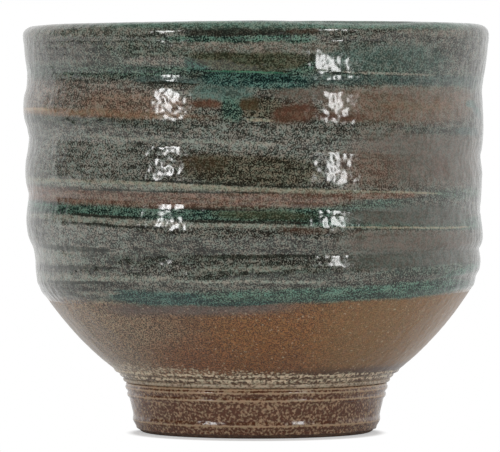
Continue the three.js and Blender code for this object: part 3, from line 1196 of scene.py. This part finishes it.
        GlazeZone(Glaze.BRIGHT_GREEN, 82.6, 0.22, -2.5, 10, raggedness=0.25),
        GlazeZone(Glaze.SEA_GREY, 77.6, 0.9, 69, 4),
        # Painted shade: a dark spot in deep teal on the right side, where a small pit would be; the wall's
        # shape has no pit
        GlazeZone(Glaze.DEEP_TEAL, 76.0, 1.3, 74.5, 4.5, lean=-0.8, raggedness=0.2),
        # Round the lip: pinkish ash, copper and a dark line
        GlazeZone(Glaze.PINK_ASH, 88.3, 1.2, 0, 20, softness=0.5),
        GlazeZone(Glaze.TEAL, 90.0, 0.8, -11, 11, softness=0.5),
        GlazeZone(Glaze.TURQUOISE, 90.0, 0.8, 6, 8, softness=0.6, raggedness=0.7),
        GlazeZone(Glaze.DARK_LINE, 91.5, 0.7, -1, 17, raggedness=0.35),
        GlazeZone(Glaze.RUST, 91.7, 0.5, 11, 4, strength=0.3),
        GlazeZone(Glaze.PINK_ASH, 92.0, 0.9, 50, 13, softness=0.5),
        GlazeZone(Glaze.LIP_GREEN, 93.2, 1.0, 16, 60, lean=0.3, raggedness=0.3),
        # The back, with the same glazes
        GlazeZone(Glaze.TERRACOTTA, 76.4, 3.6, 146, 40, raggedness=0.4),
        GlazeZone(Glaze.RUST_SPECK, 74.2, 2.4, -118, 14),
        GlazeZone(Glaze.DARK_OLIVE, 61.0, 3.0, 172, 24, softness=0.3),
        GlazeZone(Glaze.OLIVE, 85.0, 2.2, -146, 17, taper=0.25, softness=0.2, raggedness=0.3),
        GlazeZone(Glaze.RED_BROWN, 54.6, 1.6, 168, 60, raggedness=0.25),
        GlazeZone(Glaze.CREAM, 56.7, 0.6, 176, 74, raggedness=0.2),
        GlazeZone(Glaze.DARK_LINE, 91.8, 0.7, -160, 40, raggedness=0.35),
    )

    def __init__(self, wall_place: WallPlace, zone: GlazeZoneGroup, flecks: FleckGroup) -> None:
        """Takes the groups that it is made of.

        Args:
            wall_place: tells where a point lies.
            zone: lays one zone.
            flecks: floats the flecks.
        """
        self.wall_place = wall_place
        self.zone = zone
        self.flecks = flecks
        super().__init__()

    def outputs(self) -> Feeds:
        """Lays every zone over the ash glaze, then the flecks.

        Returns:
            A socket for each of the group's outputs.
        """
        w = self.write
        place = self.wall_place.place(w)
        spot = {name: place[name] for name in ("Level", "Bearing", "Ragged")}
        colours = self.zone.lay(w, Glaze.ASH, self.ZONES, spot)
        streaks = w.smooth(place["Level"], *self.STREAKS_START, *self.STREAKS)
        flecks = self.flecks.float_in(w, place, colours, streaks, self.GRAIN)
        return {name: flecks[name] for name in self.OUTPUTS}


class Effects:
    """The shared shader groups, built once."""

    def __init__(self) -> None:
        """Builds every group."""
        self.place = WallPlace()
        self.zone = GlazeZoneGroup()
        self.flecks = FleckGroup()
        self.wall = WallColours(self.place, self.zone, self.flecks)


# Finishes


@dataclass(frozen=True)
class Gloss:
    """How a fired surface shines: roughness of its ground and flecks, and its relief in millimetres."""

    ground: float
    fleck: float
    relief: float
    ior: float = 1.62


class Finish:
    """A material with one Principled shader, whose colour, roughness and relief come from its nodes."""

    def __init__(self, name: str, gloss: Gloss) -> None:
        """Makes the material and its shader.

        Args:
            name: the material's name.
            gloss: how it shines.
        """
        self.material = bpy.data.materials.new(name)
        self.material.use_nodes = True
        self.write = NodeWriter(self.material.node_tree)
        self.shader = self.material.node_tree.nodes["Principled BSDF"]
        self.gloss = gloss
        self.shader.inputs["IOR"].default_value = gloss.ior

    def dress(self, skin: Outputs, colour: Socket | None = None) -> Material:
        """Feeds the shader.

        Args:
            skin: a colour, a mask of the flecks, which are rougher, and relief in shares of the gloss's.
            colour: the surface colour, where it isn't the skin's own.

        Returns:
            The finished material.
        """
        w = self.write
        roughness = w.ramp(skin["Fleck mask"], 0.0, 1.0, self.gloss.ground, self.gloss.fleck)
        inputs = {"Strength": 1.0, "Distance": self.gloss.relief * MM, "Height": skin["Relief"]}
        normal = w.add("ShaderNodeBump", inputs).outputs[0]
        shown = skin["Color"] if colour is None else colour
        for name, value in {"Base Color": shown, "Roughness": roughness, "Normal": normal}.items():
            w.feed(self.shader.inputs[name], value)
        return self.material


@dataclass(frozen=True)
class WallFinish:
    """A glaze of the outside, in the wall's colours."""

    name: str
    gloss: Gloss

    def build(self, effects: Effects) -> Material:
        """Builds the material."""
        finish = Finish(self.name, self.gloss)
        return finish.dress(effects.wall.place(finish.write))


@dataclass(frozen=True)
class Specks:
    """Pale salt specks in a glaze, slip or clay, which thicken along turned ridges: on the foot this also
    paints highlights along the ridges.
    """

    colour: Colour
    grain: float = 1.7
    ridges: tuple[float, ...] = ()
    ridge_cover: float = 0.4
    ridge_sway: float = 0.1
    ridge_line: Pair = (0.05, 0.32)
    streaks: float = 0.5

    def strew(self, w: NodeWriter, effects: Effects, place: Outputs, ground: Feed, cover: Feed) -> Outputs:
        """Strews the specks over a ground.

        Args:
            w: the writer of the material's tree.
            effects: the shared groups.
            place: outputs of the group that tells where a point lies.
            ground: the colour under the specks.
            cover: the share that they cover between the ridges.

        Returns:
            The outputs of the flecks.
        """
        wavy = w.math("MULTIPLY_ADD", place["Ragged"], self.ridge_sway, w.parts(place["Point"])[2])
        for ridge in self.ridges:
            apart = w.math("ABSOLUTE", w.math("SUBTRACT", wavy, ridge))
            cover = w.math("ADD", cover, w.smooth(apart, *self.ridge_line, self.ridge_cover, 0.0))
        colours = {"Ground": ground, "Fleck": self.colour, "Cover": cover}
        return effects.flecks.float_in(w, place, colours, self.streaks, self.grain)


@dataclass(frozen=True)
class IronFinish(WallFinish):
    """The lower wall's glaze, with salt specks that thicken down to the foot seam."""

    specks: Specks = Specks(seen(204, 188, 162), 1.6, BowlSizes.seam_ridges, 0.25)
    speck_cover: Pair = (0.38, -0.4)
    speck_fade: Pair = (14.8, 18.0)
    speck_lean: float = 1.1
    speck_side: float = 30.0

    def build(self, effects: Effects) -> Material:
        """Builds the material.

        Args:
            effects: the shared shader groups.

        Returns:
            The finished material.
        """
        finish = Finish(self.name, self.gloss)
        w = finish.write
        wall = effects.wall.place(w)
        place = effects.place.place(w)
        x, _, height = w.parts(place["Point"])
        side = w.math("DIVIDE", x, self.speck_side)
        edge = w.math("MULTIPLY_ADD", side, self.speck_lean, height)
        cover = w.smooth(edge, *self.speck_fade, *self.speck_cover)
        specks = self.specks.strew(w, effects, place, wall["Color"], cover)
        return finish.dress(wall, specks["Color"])


@dataclass(frozen=True)
class SaltFinish:
    """A plain ground with pale specks: salted glaze, slip or sandy clay."""

    name: str
    gloss: Gloss
    ground: Colour
    specks: Specks
    cover: float

    def build(self, effects: Effects) -> Material:
        """Builds the material.

        Args:
            effects: the shared shader groups.

        Returns:
            The finished material.
        """
        finish = Finish(self.name, self.gloss)
        place = effects.place.place(finish.write)
        return finish.dress(self.specks.strew(finish.write, effects, place, self.ground, self.cover))


@dataclass(frozen=True)
class LinerFinish:
    """Grey-green glaze of the inside, with bands round the wall and a teal pool in the well."""

    gloss: Gloss = Gloss(0.1, 0.2, 0.12)
    grain: float = 1.8
    streaks: float = 0.7
    raggedness: float = 1.2
    bands: Zones = (
        GlazeZone(Glaze.LIP_GREEN, 94.0, 3.0),
        GlazeZone(Glaze.PINK_ASH, 80.0, 3.5),
        GlazeZone(Glaze.TEAL, 70.0, 2.0),
        GlazeZone(Glaze.RED_BROWN, 57.0, 2.2),
        GlazeZone(Glaze.OLIVE, 40.0, 7.0),
        GlazeZone(Glaze.TURQUOISE, 31.0, 3.0),
        GlazeZone(Glaze.DEEP_TEAL, 18.0, 9.0),
    )

    def build(self, effects: Effects) -> Material:
        """Builds the material.

        Args:
            effects: the shared shader groups.

        Returns:
            The finished material.
        """
        finish = Finish("Liner glaze", self.gloss)
        w = finish.write
        place = effects.place.place(w)
        height = w.parts(place["Point"])[2]
        spot = {"Level": height, "Bearing": place["Bearing"], "Ragged": place["Ragged"]}
        bands = tuple(replace(band, raggedness=self.raggedness) for band in self.bands)
        colours = effects.zone.lay(w, Glaze.GREEN_ASH, bands, spot)
        return finish.dress(effects.flecks.float_in(w, place, colours, self.streaks, self.grain))


MATT = Gloss(0.75, 0.85, 0.12)
CLAY_GRAIN = 1.1
BODY_CLAY = SaltFinish("Body clay", MATT, seen(120, 84, 58), Specks(seen(158, 120, 90), CLAY_GRAIN), 0.5)
# The foot's bare clay is darker than the body's clay: partly its own tone, partly painted shade along the
# foot's lower edge
FOOT_CLAY_AND_SHADE = SaltFinish("Foot clay", MATT, seen(70, 48, 35), Specks(seen(98, 72, 54), CLAY_GRAIN), 0.5)
# Pale specks gather thickly on the foot's ridges: partly real salt, partly painted highlights along the
# ridges
FOOT_SPECKS_AND_RIDGE_HIGHLIGHTS = Specks(seen(162, 135, 107), ridge_cover=0.55)
FOOT_GLAZE = SaltFinish("Foot glaze", Gloss(0.19, 0.26, 0.1), seen(84, 47, 27), FOOT_SPECKS_AND_RIDGE_HIGHLIGHTS, 0.36)
SLIP_SPECKS = Specks(seen(176, 160, 138))
LUTING_SLIP = SaltFinish("Luting slip", Gloss(0.3, 0.4, 0.14), seen(104, 82, 62), SLIP_SPECKS, 0.62)


# The bowl's sub-assemblies


def settle(piece: Piece, slot: str, *nodes: str) -> None:
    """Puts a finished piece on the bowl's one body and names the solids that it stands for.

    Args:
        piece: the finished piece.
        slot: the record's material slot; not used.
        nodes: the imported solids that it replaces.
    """
    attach(piece, "root")
    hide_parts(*nodes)
    log.info("%s: %d faces, for %s", piece.name, len(piece.data.polygons), ", ".join(nodes))


@dataclass
class ThrownWork:
    """What every sub-assembly of the bowl is made with."""

    sizes: BowlSizes
    outline: BowlOutline
    tree: ThrownSkinTree
    effects: Effects

    def throw(self, name: str, outline: Points, skin: SkinSizes, material: Material, slot: str,
              node: str) -> None:
        """Throws one piece and names what it stands for."""
        settle(self.tree.throw(name, outline, skin, material), slot, node)


@dataclass
class Coats(ThrownWork):
    """Glaze of the body: lower wall, upright wall, lip and lining, each run under the next."""

    overlap: float = 3.0
    liner_overlap: float = 0.5
    step: float = 0.5
    fine_step: float = 0.24
    liner_step: float = 0.68
    around: int = 560
    iron_thinner: float = 0.1
    iron_feather: float = 1.0
    lip_thicker: float = 0.05
    ash_edge: float = 2.4
    lip_edge: float = 1.2
    liner_lines: float = 0.1
    liner_spiral: float = 0.28
    glossy: Gloss = Gloss(0.13, 0.2, 0.105)
    satin: Gloss = Gloss(0.28, 0.38, 0.1)

    def build(self) -> None:
        """Builds and dresses every coat."""
        line = self.outline
        glaze = self.sizes.glaze
        iron = (0.0, line.shoulder + 2 * self.overlap)
        ash = (line.shoulder - self.overlap, line.wall_top + self.overlap / 2)
        lip = (line.wall_top - self.overlap, line.lip_end + self.overlap)
        liner = (line.lip_end - self.liner_overlap, line.floor_centre)
        self._coat("iron_slip", "iron_slip_coat", iron, IronFinish("Iron slip", self.satin), self.fine_step,
                   height=glaze - self.iron_thinner, lower_feather=self.iron_feather)
        self._coat("ash_glaze", "ash_glaze_coat", ash, WallFinish("Ash glaze", self.glossy), self.step,
                   height=glaze, ragged=self.ash_edge)
        self._coat("lip_glaze", "lip_glaze", lip, WallFinish("Lip glaze", self.glossy), self.step,
                   height=glaze + self.lip_thicker, ragged=self.lip_edge)
        self._coat("liner_glaze", "liner_glaze", liner, LinerFinish(), self.liner_step, height=glaze,
                   upper_feather=0.0, line_depth=self.liner_lines, spiral_depth=self.liner_spiral)

    def _coat(self, slot: str, node: str, ends: Pair, finish: WallFinish | LinerFinish, step: float,
              **relief: float) -> None:
        """Throws one coat between two lengths along the outline.

        Args:
            slot: the record's material slot.
            node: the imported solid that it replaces.
            ends: lengths along the outline.
            finish: the coat's finish.
            step: distance between rows of the skin.
            relief: sizes of the skin that differ from the wall's.
        """
        start, end = ends
        span = end - start
        sizes = {**self.sizes.relief(), **relief}
        skin = SkinSizes(start, span, self.around, round(span / step), **sizes)
        self.throw(f"{slot}_skin", self.outline.points, skin, finish.build(self.effects), slot, node)


@dataclass
class CopperBands(ThrownWork):
    """Copper glaze pooled in some of the grooves and under the lip."""

    width: float = 6.0
    rise: float = 0.04
    sink: float = 0.12
    pool: float = 0.3
    feather: float = 2.2
    edge: float = 0.9
    lip_drop: float = 0.6
    around: int = 560
    rows: int = 20
    finish: WallFinish = WallFinish("Copper glaze", Gloss(0.12, 0.18, 0.1))

    def build(self) -> None:
        """Builds and dresses every band."""
        material = self.finish.build(self.effects)
        rings = self.sizes.rings
        places = {"lower": 0, "middle": rings.count // 2, "upper": rings.count - 1}
        for place, groove in places.items():
            height = self.sizes.groove_height(groove)
            middle = self.outline.shoulder + height - self.sizes.shoulder_height
            self._band(place, middle, rings.lean(height), material)
        self._band("lip", self.outline.wall_top - self.lip_drop, rings.lean_lip, material)

    def _band(self, place: str, middle: float, lean: float, material: Material) -> None:
        """Throws one band about a length along the outline.

        Args:
            place: which band it is.
            middle: length along the outline.
            lean: how far it drops a quarter turn to the right of the front.
            material: its finish.
        """
        glaze = self.sizes.glaze
        skin = SkinSizes(
            middle - self.width / 2, self.width, self.around, self.rows, height=glaze - self.rise,
            bed=self.sink - glaze, pool=self.pool, lean=lean, ragged=self.edge, lower_feather=self.feather,
            upper_feather=self.feather, **self.sizes.relief(),
        )
        node = f"copper_band_{place}"
        self.throw(f"copper_{place}", self.outline.points, skin, material, "copper_glaze", node)


@dataclass
class Foot(ThrownWork):
    """The foot ring, its glaze, and the slip that joins it to the body."""

    around: int = 420
    clay_around: int = 210
    clay_rows: int = 120
    glaze_rows: int = 64
    slip_rows: int = 84
    step: float = 0.15
    base_radius: float = 27.3
    edge_radius: float = 1.3
    land_width: float = 4.6
    bore_corner: Pair = (0.35, 0.5)
    top_thickness: float = 8.5
    glaze_bed: float = 0.1
    glaze_start: float = -40.0
    glaze_feather: float = 0.5
    glaze_edge: float = 0.3
    glaze_lines: float = 0.12
    glaze_peel: float = 0.08
    wobble: float = 0.25
    slip: float = 0.7
    slip_sink: float = 0.1
    slip_rise: float = 0.35
    ridges: tuple[float, ...] = (8.7, 10.4)
    ridge_depth: float = 0.36
    ridge_width: float = 0.36
    pale_line: float = 11.2
    toe_ridge: float = 2.9
    toe_depth: float = 0.42
    toe_width: float = 0.85
    bead_offset: Pair = (0.1, 0.2)
    bead_radii: Pair = (0.7, 0.6)
    inner_bead: float = 0.3

    def build(self) -> None:
        """Builds and dresses the ring, its glaze and the slip."""
        self._ring()
        self._glaze()
        self._slip()

    def _outside(self) -> Points:
        """The ridged outside, from the rounded edge up to the seam.

        Returns:
            Its points, upwards.
        """
        low, high = self.edge_radius, self.sizes.foot_height
        lean = self.sizes.seam_radius - self.sizes.seam_tuck - self.base_radius
        points = []
        for t in steps(high - low, self.step):
            height = low + (high - low) * t
            ridge = self.ridge_depth * ridged(height, self.ridges, self.ridge_width)
            toe = self.toe_depth * ridged(height, (self.toe_ridge,), self.toe_width)
            points.append((self.base_radius + lean * t + ridge + toe, height))
        return points

    def _edge(self, start: float) -> Points:
        """The rounded lower edge, from an angle below level up to level."""
        centre = (self.base_radius - self.edge_radius, self.edge_radius)
        return arc(centre, (self.edge_radius, self.edge_radius), start, 0, self.step)

    def _ring(self) -> None:
        """The clay of the ring: land, rounded edge, outside, top and bore."""
        top = self.sizes.foot_height - self.slip
        bore = (self.sizes.seam_radius - self.top_thickness, top)
        land = self.base_radius - self.edge_radius - self.land_width
        inset, rise = self.bore_corner
        outside = [(radius - self.glaze_bed, height) for radius, height in self._outside() if height < top]
        turned = [*self._edge(-90), *outside[1:], (outside[-1][0], top)]
        outline = [bore, (land - inset, rise), (land, 0.0), *turned, bore]
        skin = SkinSizes(0.0, line_length(outline), self.clay_around, self.clay_rows, build=Build.SOLID)
        self.throw("foot_clay", outline, skin, FOOT_CLAY_AND_SHADE.build(self.effects), "foot_clay", "foot_ring")

    def _glaze(self) -> None:
        """The glaze of the ring's outside, from its edge up under the slip."""
        outline = [*self._edge(self.glaze_start), *self._outside()[1:]]
        # Specks along the toe, the ridges and the pale line: partly salt, partly painted highlights on the
        # ridges
        specks = replace(FOOT_SPECKS_AND_RIDGE_HIGHLIGHTS, ridges=(self.toe_ridge, *self.ridges, self.pale_line))
        material = replace(FOOT_GLAZE, specks=specks).build(self.effects)
        skin = SkinSizes(
            0.0, line_length(outline), self.around, self.glaze_rows, height=self.sizes.glaze,
            lower_feather=self.glaze_feather, upper_feather=self.glaze_feather, ragged=self.glaze_edge,
            wobble=self.wobble, line_depth=self.glaze_lines, peel=self.glaze_peel,
        )
        self.throw("foot_glaze_skin", outline, skin, material, "foot_glaze", "foot_glaze")

    def _slip(self) -> None:
        """The slip between ring and body, squeezed out to a bead on both sides."""
        seam, level = self.sizes.seam_radius, self.sizes.foot_height
        low, high = level - self.slip - self.slip_sink, level + self.slip_rise
        out, up = self.bead_offset
        bead = arc((seam + out, level + up), self.bead_radii, -90, 90, self.step)
        inner_radii = (self.inner_bead, (high - low) / 2)
        inner = arc((seam - self.top_thickness, (low + high) / 2), inner_radii, 90, 270, self.step)
        underside = tuple((a + b) / 2 for a, b in zip(bead[0], inner[-1]))
        outline = [underside, *bead, *inner, underside]
        skin = SkinSizes(0.0, line_length(outline), self.around, self.slip_rows, wobble=self.wobble,
                         build=Build.SOLID)
        self.throw("slip_bead", outline, skin, LUTING_SLIP.build(self.effects), "slip", "luting_slip")


@dataclass
class ClayBody(ThrownWork):
    """The thrown clay under the glaze: it shows only on the turned underside."""

    around: int = 180
    rows: int = 240
    step: float = 0.5
    glaze_bed: float = 0.3
    turning_depth: float = 0.1
    turning_pitch: float = 2.6

    def build(self) -> None:
        """Builds and dresses the body."""
        s = self.sizes
        underside = [(s.seam_radius * t, s.foot_height) for t in steps(s.seam_radius, self.step)]
        above = [point for point in self.outline.points if point[1] > s.foot_height + self.step]
        outline = [*underside, *above]
        skin = SkinSizes(
            0.0, line_length(outline), self.around, self.rows, height=-self.glaze_bed,
            ring_depth=s.rings.depth, wobble=s.wobble, spiral_depth=self.turning_depth,
            spiral_pitch=self.turning_pitch, build=Build.SOLID,
        )
        self.throw("body_clay", outline, skin, BODY_CLAY.build(self.effects), "body_clay", "bowl_body")


# Studio


@dataclass(frozen=True)
class SoftLamp:
    """A soft lamp: degrees round from the front and up, metres wide and high, and its power."""

    bearing: float
    rise: float
    sides: Pair
    power: float


@dataclass
class Studio:
    """Camera, lamps, white surround and pale floor."""

    axis_height: float = 0.04755
    aim_side: float = -0.0015
    camera_height: float = 0.072
    camera_distance: float = 1.103
    lens: float = 343.2
    near_clip: float = 0.01
    lamps: tuple[SoftLamp, ...] = (
        SoftLamp(-43.0, 7.5, (0.13, 0.15), 1.2),
        SoftLamp(40.0, 10.5, (0.13, 0.25), 1.5),
    )
    lamp_distance: float = 1.0
    surround: float = 0.66
    dim_front: float = 0.03
    white_left: Pair = (0.35, 0.62)
    white_right: Pair = (-0.55, 0.5)
    side_turn: Pair = (-0.2, 0.2)
    floor_size: float = 3.0
    floor_front: float = 0.22
    floor_paleness: float = 0.9
    shadow_share: float = 0.6
    shadow_centre: float = -0.005
    shadow_reach: Pair = (0.0275, 0.0305)
    white_floor: Pair = (-0.03, 0.08)

    def build(self) -> None:
        """Sets the whole studio."""
        self._camera()
        for lamp in self.lamps:
            self._lamp(lamp)
        self._world()
        self._floor()
        bpy.context.scene.view_settings.view_transform = "Standard"

    def _aimed(self, thing: bpy.types.Object, place: Vector, target: Vector) -> None:
        """Puts a camera or lamp at a place, aimed at a target.

        Args:
            thing: the camera or lamp.
            place: where it stands.
            target: what it looks at.
        """
        thing.location = place
        thing.rotation_euler = (target - place).to_track_quat("-Z", "Y").to_euler()
        bpy.context.collection.objects.link(thing)

    def _camera(self) -> None:
        """The photograph's view: level with the upper wall, through a long lens."""
        camera = bpy.data.cameras.new("Camera")
        camera.lens = self.lens
        camera.clip_start = self.near_clip
        eye = bpy.data.objects.new("Camera", camera)
        place = Vector((self.aim_side, -self.camera_distance, self.camera_height))
        self._aimed(eye, place, Vector((self.aim_side, 0.0, self.axis_height)))
        bpy.context.scene.camera = eye

    def _lamp(self, lamp: SoftLamp) -> None:
        """Hangs one lamp, which is seen only in the glaze.

        Args:
            lamp: its place, size and power.
        """
        light = bpy.data.lights.new("Soft lamp", "AREA")
        light.shape = "RECTANGLE"
        light.size, light.size_y = lamp.sides
        light.energy = lamp.power
        turn, rise = math.radians(lamp.bearing), math.radians(lamp.rise)
        level = self.lamp_distance * math.cos(rise)
        up = self.lamp_distance * math.sin(rise)
        place = Vector((level * math.sin(turn), -level * math.cos(turn), up))
        shine = bpy.data.objects.new("Soft lamp", light)
        shine.visible_camera = False
        target = Vector((0.0, 0.0, self.axis_height))
        self._aimed(shine, place + target, target)

    def _world(self) -> None:
        """A white surround that the glaze mirrors at its sides, dim in front, with soft light."""
        world = bpy.data.worlds.new("Surround")
        world.use_nodes = True
        bpy.context.scene.world = world
        w = NodeWriter(world.node_tree)
        background = world.node_tree.nodes["Background"]
        rays = w.add("ShaderNodeLightPath").outputs
        side, depth, _ = w.parts(w.add("ShaderNodeTexCoord").outputs["Generated"])
        right = w.smooth(side, *self.side_turn)
        near, far = [w.between(right, *edges) for edges in zip(self.white_left, self.white_right)]
        mirrored = w.smooth(depth, near, far, self.dim_front, 1.0)
        strength = w.between(rays["Is Glossy Ray"], self.surround, mirrored)
        shown = w.math("MAXIMUM", rays["Is Camera Ray"], rays["Is Transmission Ray"])
        w.feed(background.inputs["Strength"], w.between(shown, strength, 1.0))
        background.inputs["Color"].default_value = (1.0, 1.0, 1.0, 1.0)

    def _floor(self) -> None:
        """A pale floor that keeps the bowl's shadow and fades into the white surround."""
        half, front = self.floor_size / 2, -self.floor_front
        corners = [(-half, front, 0), (half, front, 0), (half, half, 0), (-half, half, 0)]
        mesh = bpy.data.meshes.new("floor")
        mesh.from_pydata(corners, [], [(0, 1, 2, 3)])
        floor = bpy.data.objects.new("floor", mesh)
        bpy.context.collection.objects.link(floor)
        material = bpy.data.materials.new("Pale floor")
        material.use_nodes = True
        tree = material.node_tree
        tree.nodes.clear()
        w = NodeWriter(tree)
        x, y, _ = w.parts(w.add("ShaderNodeTexCoord").outputs["Object"])
        away = w.math("SUBTRACT", y, self.shadow_centre)
        radius = w.math("SQRT", w.math("ADD", w.product(x, x), w.product(away, away)))
        near = w.smooth(radius, *self.shadow_reach, self.shadow_share, 0.0)
        rays = w.add("ShaderNodeLightPath").outputs
        mirrored = w.product(rays["Is Glossy Ray"], w.smooth(y, *self.white_floor))
        shown = w.math("MAXIMUM", rays["Is Camera Ray"], mirrored)
        white_share = w.product(shown, w.math("SUBTRACT", 1.0, near))
        pale = (self.floor_paleness,) * 3 + (1.0,)
        matt = w.add("ShaderNodeBsdfDiffuse", {"Color": pale}).outputs[0]
        white = w.add("ShaderNodeEmission", {"Strength": 1.0}).outputs[0]
        mixed = w.add("ShaderNodeMixShader", {0: white_share, 1: matt, 2: white})
        w.add("ShaderNodeOutputMaterial", {"Surface": mixed.outputs[0]})
        mesh.materials.append(material)


def main() -> None:
    """Builds the bowl from the clay out, then the studio."""
    logging.basicConfig(level=logging.INFO, format="%(message)s")
    sizes = BowlSizes.from_frame()
    work = (sizes, BowlOutline(sizes), ThrownSkinTree(sizes), Effects())
    for assembly in (ClayBody, Foot, Coats, CopperBands):
        assembly(*work).build()
    Studio().build()


if __name__ == "__main__":
    main()
